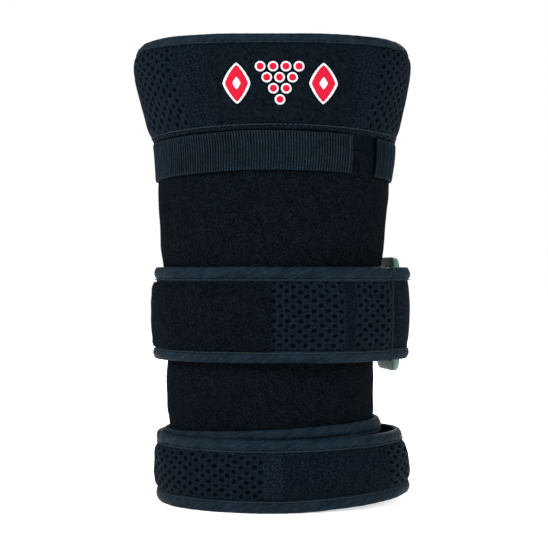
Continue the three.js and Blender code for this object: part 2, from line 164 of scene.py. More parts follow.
class Paint:
    """A material whose nodes are made by expressions."""

    def __init__(self, name, roughness=0.9, specular=0.2, tint=(1, 1, 1), sheen=0.0, sheen_roughness=0.5):
        self.material = bpy.data.materials.new(name)
        self.material.use_nodes = True
        self.tree = self.material.node_tree
        self.surface = self.tree.nodes["Principled BSDF"]
        constants = {
            "Roughness": roughness,
            "Specular IOR Level": specular,
            "Specular Tint": tint,
            "Sheen Weight": sheen,
            "Sheen Roughness": sheen_roughness,
        }
        for name, value in constants.items():
            self.set(name, value)

    def feed(self, socket, value):
        if isinstance(value, Wire):
            self.tree.links.new(value.socket, socket)
        else:
            socket.default_value = (*value, 1) if socket.type == "RGBA" else value

    def node(self, kind, settings=None, *inputs, out=0, **named):
        made = self.tree.nodes.new(kind)
        for key, value in (settings or {}).items():
            setattr(made, key, value)
        for socket, value in zip(made.inputs, inputs):
            self.feed(socket, value)
        for key, value in named.items():
            self.feed(made.inputs[key.replace("_", " ")], value)
        return Wire(self, made.outputs[out])

    def set(self, name, value):
        self.feed(self.surface.inputs[name], value)

    def split(self, point, count):
        """The first coordinates of a place, in mm."""
        return [self.node("ShaderNodeSeparateXYZ", None, point, out=k) * 1000 for k in range(count)]

    def cloth(self):
        """Place on the cloth in mm: along it and across it."""
        return self.split(self.node("ShaderNodeUVMap", {"uv_map": "cloth"}), 2)

    def speckle(self, size, detail=3.0):
        """Noise between 0 and 1 whose grains are about size mm."""
        point = self.node("ShaderNodeTexCoord", None, out=3)
        return self.node("ShaderNodeTexNoise", None, point, Scale=1000 / size, Detail=detail)

    def streaks(self, fast, slow, scale, detail=2.0):
        """Noise over two directions that may be stretched."""
        point = self.node("ShaderNodeCombineXYZ", None, fast, slow)
        return self.node("ShaderNodeTexNoise", None, point, Scale=scale, Detail=detail)

    def blend(self, factor, first, second):
        mixer = self.tree.nodes.new("ShaderNodeMix")
        mixer.data_type = "RGBA"
        for index, value in [(0, factor), (6, first), (7, second)]:
            self.feed(mixer.inputs[index], value)
        return Wire(self, mixer.outputs[2])

    def colour(self, factor, dark, light):
        self.set("Base Color", self.blend(factor, dark, light))

    def bump(self, height, depth_mm):
        bump = self.node("ShaderNodeBump", None, Strength=1.0, Distance=depth_mm * MM, Height=height)
        self.set("Normal", bump)


print("operations:", len(OPERATIONS))

# %% [markdown]
# ## Camera
#
# The camera stands straight in front at 0.6 m, level with the middle of the object. It could be
# moved by eye until the outlines agree. Its lens is worked out from the picture's width and from
# the pixels that one unit of slope covers instead, because that can be checked.

# %% Camera
PICTURE = 548
PIXELS_PER_TANGENT = 1120
CAMERA = Vector((1.0, -600, 120)) * MM
SENSOR = 36.0

bpy.ops.object.select_all(action="DESELECT")
bpy.ops.object.camera_add(location=CAMERA, rotation=(pi / 2, 0, 0))
camera = bpy.context.object
camera.data.sensor_width = SENSOR
camera.data.lens = SENSOR * PIXELS_PER_TANGENT / PICTURE
camera.data.clip_start = 0.01
bpy.context.scene.camera = camera
print("lens in mm:", round(camera.data.lens, 1))

# %% [markdown]
# ## Floor, surround and light
#
# The object stands on a plain pale floor. Lamps strong enough to whiten a modelled studio would
# wash out dark cloth. So the surround is white to the camera and dimmer as light, and the floor
# has a little light of its own. Two soft lights pale the flanks, and a third lights the back.

# %% Floor, surround and lights
bpy.ops.mesh.primitive_plane_add(size=14, location=(0, 0, 0))
floor = bpy.context.object
floor.name = "floor"
floor_paint = Paint("floor_paint", roughness=0.9, specular=0.1)
floor_paint.set("Base Color", (0.85, 0.85, 0.85))
floor_paint.set("Emission Color", (1, 1, 1))
floor_paint.set("Emission Strength", 0.62)
floor.data.materials.append(floor_paint.material)

SURROUND_LIGHT = 0.45
world = bpy.data.worlds.new("pale_surround")
bpy.context.scene.world = world
world.use_nodes = True
surround = world.node_tree.nodes["Background"]
surround.inputs["Color"].default_value = (1, 1, 1, 1)
seen = world.node_tree.nodes.new("ShaderNodeLightPath").outputs["Is Camera Ray"]
brightness = world.node_tree.nodes.new("ShaderNodeMapRange")
brightness.inputs["To Min"].default_value = SURROUND_LIGHT
brightness.inputs["To Max"].default_value = 1.0
world.node_tree.links.new(seen, brightness.inputs["Value"])
world.node_tree.links.new(brightness.outputs["Result"], surround.inputs["Strength"])
bpy.context.scene.view_settings.view_transform = "Standard"

# Each light: its name, place, size in m and power in W
LIGHTS = [
    ("left_softbox", (-0.75, -0.7, 0.8), 0.4, 17),
    ("right_softbox", (0.95, -0.45, 0.5), 0.4, 7.5),
    ("back_softbox", (0.25, 1.0, 0.95), 0.5, 12),
]
AIM = Vector((0, 0, HEIGHT / 2))
for name, place, size, watts in LIGHTS:
    bpy.ops.object.light_add(type="AREA", location=place)
    light = bpy.context.object
    light.name, light.data.size, light.data.energy = name, size, watts
    light.rotation_euler = (AIM - light.location).to_track_quat("-Z", "Y").to_euler()
print("lights:", [row[0] for row in LIGHTS])

# %% [markdown]
# ## Brushed loop fabric
#
# The sleeve and the left of the strap are a knit with brushed loops that hooks can grip, near
# black with paler tufts. Loops could be grown as hair, but from here they are finer than a
# pixel. Two sizes of noise give tufts and clumps as colour and bump, at no cost in faces.

# %% Brushed loops
COOL = (0.35, 0.72, 1.0)
loop_fabric = Paint("brushed_loops", roughness=0.95, specular=0.02, tint=COOL, sheen=0.001)
grain = loop_fabric.speckle(0.9, detail=4)
clump = loop_fabric.speckle(3.5, detail=2)
tufts = grain.ramp(0.38, 0.7) * 0.8 + clump.ramp(0.35, 0.7) * 0.2
loop_fabric.colour(tufts, (0.0008, 0.0015, 0.0023), (0.0046, 0.0068, 0.0094))
loop_fabric.set("Roughness", 0.88 + 0.1 * clump)
loop_fabric.bump(grain + clump * 0.6, 0.55)
print("loop fabric ready")

# %% [markdown]
# ## Spacer mesh
#
# The padding is covered with a thick knit with staggered rows of holes, some stretches closely
# knitted or plain. Holes could be cut or only painted. Here they are pressed into the cloth and
# painted dark at the same places, as painted shade in the dimples, since both ask one function,
# for arrays and for wires. A ring round each hole is painted lighter, a painted highlight on its
# lip. That function pulls the rows a little out of true, as stretched cloth is.

# %% Lattice of holes
HOLE_PITCH, HOLE_SIZE = (6.4, 5.0), (1.32, 1.16)
FINE_PITCH, FINE_SIZE = (3.9, 3.0), (0.75, 0.6)


def sine(x):
    return x.sin() if isinstance(x, Wire) else np.sin(x)


def warp(along, across):
    """Pulls the lattice a little out of true, as stretched cloth is."""
    first = along + 0.34 * sine(across * 0.41 + along * 0.13) + 0.16 * sine(across * 0.97 - along * 0.37)
    second = across + 0.30 * sine(along * 0.31 + 1.3) + 0.16 * sine(along * 0.83 + across * 0.55)
    return first, second


def from_middle(x, pitch):
    """Distance from the middle of the cell that x is in."""
    if isinstance(x, Wire):
        return pitch / 2 - (x + 1000 * pitch).pingpong(pitch / 2)
    return abs(x % pitch - pitch / 2)


def hole_distance(along, across, pitch, size):
    """Distance from the nearest hole of a staggered lattice, as a share of the hole's half size."""
    along, across = warp(along, across)

    def from_holes(shift):
        dx = from_middle(along + shift * pitch[0], pitch[0]) / size[0]
        dy = from_middle(across + shift * pitch[1], pitch[1]) / size[1]
        return (dx * dx + dy * dy) ** 0.5

    first, second = from_holes(0), from_holes(0.5)
    return first.least(second) if isinstance(first, Wire) else np.minimum(first, second)


# %% Knitted mesh
def mesh_paint(name, fine=(), plain=(), tones=(), size=HOLE_SIZE, hem=0):
    """Knitted mesh. fine and plain list stretches in mm along the cloth: closely knitted, and
    without holes. tones lists [low, high, how much lighter]. Below hem, in mm across, it has no
    holes and is painted at its darkest yarn tone: painted shade under the hem."""
    paint = Paint(name, roughness=0.82, specular=0.05, tint=COOL, sheen=0.001)
    along, across = paint.cloth()
    fuzz, rough = paint.speckle(1.7), paint.speckle(1.1)
    dashes = paint.streaks(along * 0.6, across, 1.5, detail=3.0)
    distance = hole_distance(along, across, HOLE_PITCH, size) + (fuzz - 0.5) * 0.9
    closed = 0

    def stretch(low, high):
        return (along > low) * (along < high)

    for low, high in fine:
        close = hole_distance(along, across, FINE_PITCH, FINE_SIZE) + (fuzz - 0.28) * 2.6
        distance = distance + (close - distance) * stretch(low, high)
        closed = stretch(low, high) + closed
    for low, high in plain:
        distance = distance + stretch(low, high) * 4
        closed = stretch(low, high) + closed
    yarn = (along * (tau / 0.62)).sin() * 0.5 + 0.5
    rows = (across * (tau / 0.8) + along * 2.2).sin() * 0.5 + 0.5
    knit = yarn * rows
    # The hole floors are painted near black: painted shade in the pressed dimples.
    shaded_hole = (1 - distance.ramp(0.5, 1.25)) * (across > hem)
    # A ring round each hole is painted lighter: a painted highlight on the raised lip.
    rim_highlight = distance.ramp(0.95, 1.2) * (1 - distance.ramp(1.3, 1.75))
    light = knit * 0.2 + rough.ramp(0.3, 0.75) * 0.3 + dashes.ramp(0.45, 0.68) * 0.45
    light = light + rim_highlight * 0.4 - 0.1 + closed * (dashes.ramp(0.42, 0.64) * 0.72 - 0.36)
    for low, high, lighter in tones:
        light = light + stretch(low, high) * lighter
    # Below hem the yarn is painted at its darkest tone: painted shade under the overhanging hem.
    yarn_colour = paint.blend(light * (across > hem), (0.0010, 0.0021, 0.0040), (0.0074, 0.0125, 0.0198))
    paint.colour(shaded_hole, yarn_colour, (0.0004, 0.0011, 0.0025))
    paint.set("Roughness", 0.75 + 0.2 * shaded_hole)
    paint.bump(knit * 0.5 + rough * 0.4 + distance.ramp(0.5, 1.2) * 0.8, 0.35)
    return paint


print("holes every", HOLE_PITCH, "mm, close ones every", FINE_PITCH, "mm")

# %% [markdown]
# ## Twill tape
#
# The edges are bound with a smooth woven tape with a soft sheen. A picture of cloth could be
# wrapped on it, but formulas stay sharp. A sine gives the fine diagonal ribs, and noise stretched
# along a slant gives pale streaks, painted highlights that stand for the sheen on the slanted
# wrinkles.

# %% Twill tape for the folded edges
binding_tape = Paint("twill_tape", roughness=0.5, specular=0.1, tint=COOL, sheen=0.003, sheen_roughness=0.3)
along, across = binding_tape.cloth()
twill = ((along * 0.85 + across) * (tau / 0.75)).sin() * 0.5 + 0.5
cloudy = binding_tape.speckle(7, detail=3)
dust = binding_tape.speckle(0.8, detail=2)
# Pale slanted streaks in the colour: painted highlights for the tape's sheen on its wrinkles.
sheen_streak = binding_tape.streaks(across * 0.9 - along * 0.45, along * 0.1 + across * 0.05, 1 / 0.85)
shade = twill * 0.1 + sheen_streak.ramp(0.36, 0.66) * 0.5
shade = shade + dust.ramp(0.35, 0.7) * 0.15 + cloudy.ramp(0.3, 0.7) * 0.25
binding_tape.colour(shade, (0.0004, 0.0013, 0.0028), (0.0080, 0.0160, 0.0248))
binding_tape.set("Roughness", 0.48 + 0.22 * cloudy)
binding_tape.bump(twill * 0.2 + sheen_streak * 1.2, 0.4)
print("tape ready")

# %% [markdown]
# ## Ribbed webbing
#
# Webbing is a thick flat weave with ribs across it. Its colour is painted dark in the valleys
# between the ribs, as painted shade, so the crowns stand paler, and worn patches vary them at
# random. Each cord could be modelled. Here the shape has the ribs, and the shader adds the weave
# that is too fine for faces.

# %% Webbing cloth
RIB = 1.42
webbing_cloth = Paint("ribbed_webbing", roughness=0.5, specular=0.07, tint=COOL, sheen=0.002)
along, across = webbing_cloth.cloth()
rib = (along * (tau / RIB)).sin() * 0.5 + 0.5
weft = ((across * (tau / 0.55)) + (along * (tau / RIB))).sin() * 0.5 + 0.5
worn = webbing_cloth.speckle(5, detail=3)
nap = webbing_cloth.speckle(0.9, detail=2)
crown = 0.1 + weft * 0.3 + worn.ramp(0.3, 0.75) * 0.5 + nap.ramp(0.35, 0.7) * 0.7
# rib ** 1.6 darkens the valleys between the ribs: painted shade.
webbing_cloth.colour((rib ** 1.6) * crown, (0.0004, 0.0010, 0.0021), (0.0104, 0.0168, 0.0234))
webbing_cloth.set("Roughness", 0.52 + 0.18 * worn)
webbing_cloth.bump(rib * 0.4 + weft * 0.5, 0.16)
print("ribs every", RIB, "mm")

# %% [markdown]
# ## The smaller finishes
#
# These are the fine twill of the patch, a pale edging, sewing thread, satin floss and grey
# plastic. Each could have a long recipe, but they cover few pixels, so one or two noises or
# sines are enough, and one function makes both colours of floss.

# %% Patch cloth, pale edge and thread
patch_cloth = Paint("patch_twill", roughness=0.85, specular=0.03, tint=COOL)
along, across = patch_cloth.cloth()
weave = ((along + across) * (tau / 0.7)).sin() * 0.5 + 0.5
shade = weave * 0.25 + patch_cloth.speckle(1.5).ramp(0.3, 0.7) * 0.75
patch_cloth.colour(shade, (0.0007, 0.0018, 0.0030), (0.0048, 0.0072, 0.0108))
patch_cloth.bump(weave, 0.08)

edge_cloth = Paint("cut_edge", roughness=0.85, specular=0.04)
edge_cloth.colour(edge_cloth.speckle(1.2), (0.002, 0.005, 0.0065), (0.008, 0.014, 0.016))
edge_cloth.bump(edge_cloth.speckle(0.6), 0.1)

thread = Paint("sewing_thread", roughness=0.7, specular=0.08, tint=COOL)
thread.colour(thread.speckle(2.0), (0.004, 0.009, 0.013), (0.024, 0.034, 0.040))
print("made patch cloth, edging and thread")


# %% Floss and plastic
def embroidery(name, dark, light):
    paint = Paint(name, roughness=0.7, specular=0.12)
    x, _, z = paint.split(paint.node("ShaderNodeTexCoord", None, out=3), 3)
    floss = ((x * 1.0 + z * 0.25) * (tau / 0.9)).sin() * 0.5 + 0.5
    paint.colour(floss * 0.6 + paint.speckle(0.8).ramp(0.3, 0.7) * 0.4, dark, light)
    paint.bump(floss, 0.15)
    return paint


red_floss = embroidery("red_floss", (0.30, 0.0015, 0.010), (0.62, 0.0030, 0.030))
white_floss = embroidery("white_floss", (0.42, 0.43, 0.46), (0.80, 0.80, 0.82))

ring_plastic = Paint("grey_plastic", roughness=0.5, specular=0.12)
mottle = ring_plastic.speckle(6, detail=2)
ring_plastic.colour(mottle, (0.095, 0.165, 0.140), (0.128, 0.210, 0.180))
ring_plastic.set("Roughness", 0.36 + 0.14 * mottle)
ring_plastic.bump(ring_plastic.speckle(0.7), 0.03)
print("materials:", len(bpy.data.materials))

# %% [markdown]
# ## Laying cloth round the tube
#
# Every real part is cut flat, then bent and sewn. It could be sculpted in place, but the weave
# would stretch. So each strip starts as a flat grid whose corners are moved round the tube, and
# its UV map is in metres on the cloth. Columns are spaced by length, and not by angle.

# %% Helpers for pieces
def only(piece):
    bpy.ops.object.select_all(action="DESELECT")
    piece.select_set(True)
    bpy.context.view_layer.objects.active = piece


def read(items, key, width, kind=np.float32):
    """One property of all corners or loops, as rows of an array."""
    flat = np.empty(len(items) * width, dtype=kind)
    items.foreach_get(key, flat)
    return flat.reshape(-1, width).astype(float)


def corners(piece):
    return read(piece.data.vertices, "co", 3)


def move_corners(piece, points):
    piece.data.vertices.foreach_set("co", np.asarray(points, np.float32).ravel())
    piece.data.update()


def apply_modifier(piece, kind, **settings):
    only(piece)
    modifier = piece.modifiers.new(kind.lower(), kind)
    for key, value in settings.items():
        setattr(modifier, key, value)
    bpy.ops.object.modifier_apply(modifier=modifier.name)


def merge_doubles(piece, distance=0.00002):
    only(piece)
    bpy.ops.object.mode_set(mode="EDIT")
    bpy.ops.mesh.select_all(action="SELECT")
    bpy.ops.mesh.remove_doubles(threshold=distance)
    bpy.ops.mesh.normals_make_consistent(inside=False)
    bpy.ops.object.mode_set(mode="OBJECT")


def finish_piece(piece, paint, slot, *nodes, angle=50):
    only(piece)
    bpy.ops.object.transform_apply(location=True, rotation=True, scale=True)
    bpy.ops.object.shade_smooth_by_angle(angle=radians(angle))
    piece.data.materials.clear()
    piece.data.materials.append(paint.material)
    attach(piece, "root")
    if nodes:
        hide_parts(*nodes)
    print(piece.name, "faces:", len(piece.data.polygons))
    return piece


print("helpers for pieces ready")


# %% Grids laid along a course
class Course:
    """A stretch round the tube, with its turns spaced by length."""

    def __init__(self, start, end, height, out):
        self.turns = np.linspace(start, end, 1441)
        line = on_tube(self.turns, height, out)
        steps = np.linalg.norm(np.diff(line, axis=0), axis=1)
        self.lengths = np.concatenate([[0], np.cumsum(steps)])
        self.length = float(self.lengths[-1])

    def turn(self, share):
        return np.interp(np.asarray(share) * self.length, self.lengths, self.turns)

    def share(self, turn):
        return np.interp(turn, self.turns, self.lengths) / self.length


def evenly(width=1, height=1):
    """A UV map that runs evenly over a cloth of this size in mm."""
    return lambda u, v: np.stack([u * width, v * height], axis=1) * MM


def cloth_grid(name, columns, rows, place, measure):
    """A flat grid laid by place(share along, share across), with its UV map in metres by measure."""
    bpy.ops.object.select_all(action="DESELECT")
    bpy.ops.mesh.primitive_grid_add(x_subdivisions=columns, y_subdivisions=rows, size=1)
    piece = bpy.context.object
    piece.name = name
    shares = corners(piece)[:, :2] + 0.5
    move_corners(piece, place(shares[:, 0], shares[:, 1]))
    layer = piece.data.uv_layers[0]
    layer.name = "cloth"
    uv = read(layer.data, "uv", 2)
    layer.data.foreach_set("uv", np.asarray(measure(uv[:, 0], uv[:, 1]), np.float32).ravel())
    return piece


def section_rows(corners_and_steps):
    """Cuts a section into rows. Each corner is [out, up, longest row after it], in mm."""
    line = []
    for (out, up, step), (next_out, next_up, _) in zip(corners_and_steps, corners_and_steps[1:]):
        count = max(1, ceil(hypot(next_out - out, next_up - up) / step))
        for k in range(count):
            line.append((out + (next_out - out) * k / count, up + (next_up - up) * k / count))
    return np.array([*line, corners_and_steps[-1][:2]])


def run(line):
    """Length from the start of a line to each of its points."""
    return np.concatenate([[0], np.cumsum(np.hypot(*np.diff(line, axis=0).T))])


def sweep(name, line, course, step, lay, solid=None):
    """Takes a section in mm along a course and lays it with lay(turn, out, up)."""
    lengths, index = run(line), np.arange(len(line))

    def place(u, v):
        at = v * index[-1]
        return lay(course.turn(u), np.interp(at, index, line[:, 0]), np.interp(at, index, line[:, 1]))

    def measure(u, v):
        return np.stack([u * course.length, np.interp(v * index[-1], index, lengths) * MM], axis=1)

    piece = cloth_grid(name, round(course.length / MM / step), len(line) - 1, place, measure)
    merge_doubles(piece)
    if solid:
        apply_modifier(piece, "SOLIDIFY", thickness=solid[0] * MM, offset=solid[1], use_even_offset=True)
    return piece


def cloth_place(piece):
    """Place on the cloth in mm at each corner, from the UV map."""
    place = np.zeros((len(piece.data.vertices), 2))
    index = read(piece.data.loops, "vertex_index", 1, np.int32).astype(int)[:, 0]
    place[index] = read(piece.data.uv_layers["cloth"].data, "uv", 2)
    return place / MM


print("helpers for grids ready")

# %% [markdown]
# ## Padding blown up by cloth simulation
#
# Spacer mesh swells between its seams and puckers where it is sewn. Noise alone could do that,
# but real puckers follow the seams. A coarse strip is inflated as cloth with its sewn rows
# pinned, and its movement is capped. The fine padding takes its puckers from the strip and its
# swelling from its section, because a fine strip would take minutes and lose the holes.

# %% Inflating
def puckers(course, lay, out, low, high, cap=1.1, cell=3.6, pressure=4.0, slack=0.04, frames=18):
    """Inflates a coarse strip of cloth that is sewn down at heights low and high.

    It gives a function of the shares along and across the strip: how far it moved out, in mm."""
    columns, rows = round(course.length / MM / cell), max(6, round((high - low) / cell * 1.5))

    def place(u, v):
        return lay(course.turn(u), out, low + v * (high - low))

    strip = cloth_grid("padding_trial", columns, rows, place, evenly())
    shares = cloth_place(strip)
    order = np.lexsort((np.round(shares[:, 0] * columns), np.round(shares[:, 1] * rows)))
    start = corners(strip)
    outwards = lay(course.turn(shares[:, 0]), out + 1, low + shares[:, 1] * (high - low)) - start
    outwards /= np.linalg.norm(outwards, axis=1, keepdims=True)
    sewn = (shares[:, 1] < 0.01) | (shares[:, 1] > 0.99) | (shares[:, 0] < 0.001) | (shares[:, 0] > 0.999)
    strip.vertex_groups.new(name="sewn").add(np.flatnonzero(sewn).tolist(), 1.0, "REPLACE")
    only(strip)
    modifier = strip.modifiers.new("padding", "CLOTH")
    settings = {
        "quality": 6, "mass": 0.15, "vertex_group_mass": "sewn", "use_pressure": True,
        "uniform_pressure_force": pressure, "shrink_min": -slack, "tension_stiffness": 10,
        "compression_stiffness": 10, "shear_stiffness": 5, "bending_stiffness": 0.4,
    }
    for key, value in settings.items():
        setattr(modifier.settings, key, value)
    modifier.settings.effector_weights.gravity = 0
    modifier.collision_settings.use_collision = False
    modifier.point_cache.frame_end = frames
    for step in range(1, frames + 1):
        bpy.context.scene.frame_set(step)
    bpy.ops.object.modifier_apply(modifier=modifier.name)
    bpy.context.scene.frame_set(1)
    moved = ((corners(strip) - start) * outwards).sum(axis=1) / MM
    bpy.data.objects.remove(strip)
    print("padding moved", round(float(moved.min()), 2), "to", round(float(moved.max()), 2), "mm")
    table = moved[order].reshape(rows + 1, columns + 1)
    profile = np.median(table, axis=1, keepdims=True)
    table = np.clip(table - profile, -cap, cap) + np.clip(profile, 0, cap) * 0.3

    def extra(share_along, share_across):
        x = np.clip(share_along, 0, 1) * columns
        y = np.clip(share_across, 0, 1) * rows
        i = np.minimum(x.astype(int), columns - 1)
        j = np.minimum(y.astype(int), rows - 1)
        fx, fy = x - i, y - j
        first = table[j, i] * (1 - fx) + table[j, i + 1] * fx
        second = table[j + 1, i] * (1 - fx) + table[j + 1, i + 1] * fx
        return first * (1 - fy) + second * fy

    return extra


print("padding is", "inflated", "in this run")

# %% [markdown]
# ## Pressing the holes
#
# A hole in spacer mesh is a dimple, because a second face lies behind it, and its floor lies in
# shade; the shader paints that floor dark as painted shade. It could be cut through, but that
# needs many small faces. Each corner near a hole is pushed in instead, and a smooth step rounds
# the lip.

# %% Holes
CLOSE_DEPTH = 0.45


def press_holes(piece, depth, fine=(), plain=(), edge=(0.0, 1e9), size=HOLE_SIZE):
    """Pushes the mesh in at each hole, except in its plain stretches and near its sewn edges."""
    along, across = cloth_place(piece).T
    distance = hole_distance(along, across, HOLE_PITCH, size)
    amount = np.full(len(along), depth * MM)
    for low, high in fine:
        inside = (along > low) & (along < high)
        distance = np.where(inside, hole_distance(along, across, FINE_PITCH, FINE_SIZE), distance)
        amount[inside] *= CLOSE_DEPTH
    for low, high in plain:
        amount[(along > low) & (along < high)] = 0
    amount[(across < edge[0]) | (across > edge[1])] = 0
    pressed = 1 - smoothstep(0.5, 1.35, distance)
    facing = read(piece.data.vertices, "normal", 3)
    move_corners(piece, corners(piece) - facing * (amount * pressed)[:, None])


print("share of depth in the close knit:", CLOSE_DEPTH)

# %% [markdown]
# ## The sleeve
#
# The real sleeve is foam between a lining and brushed loop fabric. Its layers could be made one
# by one, but only the outer face and the thickness show. So it is one tube with a wall of 3 mm.
# The straps draw it in, it swells between them, and its side seam is a faint raised strip.

# %% Sleeve
SLEEVE_LOW, SLEEVE_HIGH, SLEEVE_THICK = 3, 183, 3


def on_body(turn, out, up):
    """Like on_tube, but in mm."""
    return on_tube(turn, up * MM, out * MM)


def bumpy(lay, *sizes):
    """The same rule, with unevenness added outwards: each of sizes is (mm long, mm deep, seed)."""
    def rule(turn, out, up):
        points = lay(turn, out, up)
        extra = sum(waves(points, long * MM, seed) * deep for long, deep, seed in sizes)
        return lay(turn, out + extra, up)

    return rule


def sleeve_lay(turn, out, up):
    swell = 0.7 * between(124, 134, 160, 172, up) + 0.6 * between(42, 50, 64, 75, up)
    side_seam = 0.35 * between(-80, -78.5, -66, -64.5, np.degrees(turn))
    return on_body(turn, out + swell + side_seam, up)


TURN_ROUND = Course(-pi, pi, 110 * MM, 0)
sleeve_line = section_rows([(0, SLEEVE_LOW, 1.6), (0, SLEEVE_HIGH, 0)])
sleeve_rule = bumpy(sleeve_lay, (26, 0.45, 1), (8, 0.14, 2))
sleeve = sweep("sleeve_cloth", sleeve_line, TURN_ROUND, 1.9, sleeve_rule, solid=(SLEEVE_THICK, -1))
finish_piece(sleeve, loop_fabric, "loop_fabric", "sleeve")
print("once round the sleeve in mm:", round(TURN_ROUND.length / MM, 1))

# %% [markdown]
# ## The cuff
#
# The cuff is padded spacer mesh, hemmed over the webbing and squeezed by the rim tape. The
# simulation alone could shape it, but not evenly. So its section gives the swelling, the
# simulation the puckers, and the holes are pressed into a fine grid. It is plain under the patch
# and at both flanks, and closely knitted beside the patch.

# %% How the cuff lies
CUFF_LOW, CUFF_HIGH = 195.5, 233.5
RIM_IN, RIM_DOWN, HEM_DOWN = 4.7, 2.4, 3.3
HEM_FROM = 184


def stretches(course, *pairs):
    """Stretches of a course in mm, from pairs of turns in degrees."""
    return [[float(course.share(radians(turn))) * course.length / MM for turn in pair] for pair in pairs]


def on_cuff(turn, out, up):
    """At both flanks the rim turns in and sinks a little, and the hem follows the webbing down."""
    side = abs(np.sin(turn)) ** 4
    turned_in = smoothstep(231, 242, up) * side
    hem = 1 - smoothstep(193, 206, up)
    fuller = side * (0.45 * smoothstep(205, 228, up) + 0.9 * smoothstep(230, 235, up))
    down = RIM_DOWN * turned_in + HEM_DOWN * hem * np.sin(turn) ** 2 * (up > HEM_FROM)
    return on_body(turn, out + fuller - RIM_IN * turned_in, up - down)


CUFF_ROUND = Course(-pi, pi, 215 * MM, 0)
CUFF_PLAIN = stretches(CUFF_ROUND, (-98, -76), (-27, 33), (78, 100))
CUFF_FINE = stretches(CUFF_ROUND, (-39, -27), (33, 44))
print("once round the cuff in mm:", round(CUFF_ROUND.length / MM, 1))

# %% Cuff panel
CUFF_HOLE = (1.1, 1.3)
# hem=9 paints the cloth below the hem step at the darkest tone, as painted shade.
cuff_mesh = mesh_paint("cuff_spacer_mesh", fine=CUFF_FINE, plain=CUFF_PLAIN, size=CUFF_HOLE, hem=9)
cuff_line = section_rows([
    (-0.3, 183.3, 1.6), (-0.3, 192.2, 0.5), (0.6, 192.5, 0.4), (1.15, 193.1, 0.5), (1.0, 194.9, 0.5),
    (1.2, 196.6, 0.62), (1.4, 204, 0.62), (1.5, 222, 0.62), (1.1, 230, 0.62), (0.1, 233.9, 0.6),
    (-0.55, 234.6, 2), (-0.55, 238.9, 1), (-2.15, 238.9, 2), (-2.15, 234.4, 1.5), (-4.2, 231.4, 2.5),
    (-4.2, 194.5, 2.5), (-3, 183.3, 1), (-0.3, 183.3, 0)])
cuff_puff = puckers(CUFF_ROUND, on_cuff, out=1.2, low=CUFF_LOW, high=CUFF_HIGH)


def cuff_lay(turn, out, up):
    """No puckers are laid inside, under the patch or past the seams, and fewer at the flanks."""
    face = smoothstep(-1, 0.5, out) * (up > CUFF_LOW) * (up < CUFF_HIGH)
    bare = 1 - between(-33, -30, 35, 38, np.degrees(turn))
    calm = 1 - 0.6 * abs(np.sin(turn)) ** 4
    puff = cuff_puff(CUFF_ROUND.share(turn), (up - CUFF_LOW) / (CUFF_HIGH - CUFF_LOW))
    return on_cuff(turn, out + puff * face * bare * calm, up)


cuff = sweep("cuff_mesh", cuff_line, CUFF_ROUND, 0.66, bumpy(cuff_lay, (18, 0.3, 3), (6, 0.1, 4)))
press_holes(cuff, depth=0.75, fine=CUFF_FINE, plain=CUFF_PLAIN, edge=(14.5, 52), size=CUFF_HOLE)
finish_piece(cuff, cuff_mesh, "spacer_mesh", "cuff_panel", angle=70)

# %% [markdown]
# ## Folded tapes
#
# Each edge is bound with bias tape, folded over it and sewn through both legs. It could be
# pulled round by a simulation, but its fold is too tight for that. Its section is drawn once,
# with the dip of the stitches, and taken along the edge. Wrinkles cross it at a slant.

# %% Rim tape of the cuff
TAPE_THICK = 0.75
TAPE_OUT, TAPE_OVER = 0.55, 0.65
WRINKLE_DEPTH = 0.26


def tape_line(inner, outer, edge, reach, side):
    """Middle line of a tape folded over an edge; side is 1 for an upper edge and -1 for a lower."""
    low_leg, high_leg = inner - TAPE_OUT, outer + TAPE_OUT
    foot, crown = edge - side * reach, edge + side * TAPE_OVER
    round_in = min(1.1, (high_leg - low_leg) / 2 - 0.1)
    fold = [(round_in * (1 - cos(a)), round_in * (1 - sin(a))) for a in np.linspace(0, pi / 2, 5)]
    leg = reach + TAPE_OVER - round_in
    roll = [(0, -0.45), (0.12, -0.62), (0.24, -0.35), (0.4, 0.25), (0.6, 0.5), (0.8, 0.4), (0.93, 0.16)]
    outer_leg = [(high_leg + away, foot + side * leg * share, 0.6) for share, away in roll]
    outer_leg += [(high_leg - dx, crown - side * dz, 0.5) for dx, dz in fold]
    inner_leg = [(low_leg + dx, crown - side * dz, 0.5) for dx, dz in fold[::-1]] + [(low_leg, foot, 0.5)]
    line = section_rows(outer_leg + inner_leg)
    return line if side > 0 else line[::-1]


def wrinkled(lay):
    """The same rule with slanted wrinkles and soft puckers."""
    def rule(turn, out, up):
        points = lay(turn, out, up)
        slanted = points * [1, 1, 0.35]
        slanted[:, :2] -= points[:, 2:] * 0.8
        extra = waves(slanted, 2.6 * MM, 5) + waves(points, 14 * MM, 6) * 1.2
        return lay(turn, out + extra * WRINKLE_DEPTH, up)

    return rule


def line_length(line):
    return float(np.hypot(*np.diff(line, axis=0).T).sum())


def bind(name, node, line, course, lay):
    piece = sweep(name, line, course, 1.0, wrinkled(lay), solid=(TAPE_THICK, 0))
    finish_piece(piece, binding_tape, "binding_tape", node)
    print(name, "is", round(line_length(line), 1), "mm wide when flat")


RIM_ROUND = Course(-pi, pi, 238 * MM, 0)
rim_line = tape_line(inner=-2.15, outer=-0.55, edge=238.9, reach=4.2, side=1)
bind("cuff_rim_tape", "cuff_binding", rim_line, RIM_ROUND, on_cuff)

# %% [markdown]
# ## Stitches
#
# A seam shows as short dashes of thread that sink into the cloth between them. They could be
# painted, but would not catch the light. So one thin tube follows the seam and bobs out of the
# cloth once for each stitch.

# %% Seams of the cuff
def floss_piece(name, columns, rows, place, paint, slot):
    """A small grid closed into a thread, a cord or a dome."""
    piece = cloth_grid(name, columns, rows, place, evenly())
    merge_doubles(piece)
    return finish_piece(piece, paint, slot)


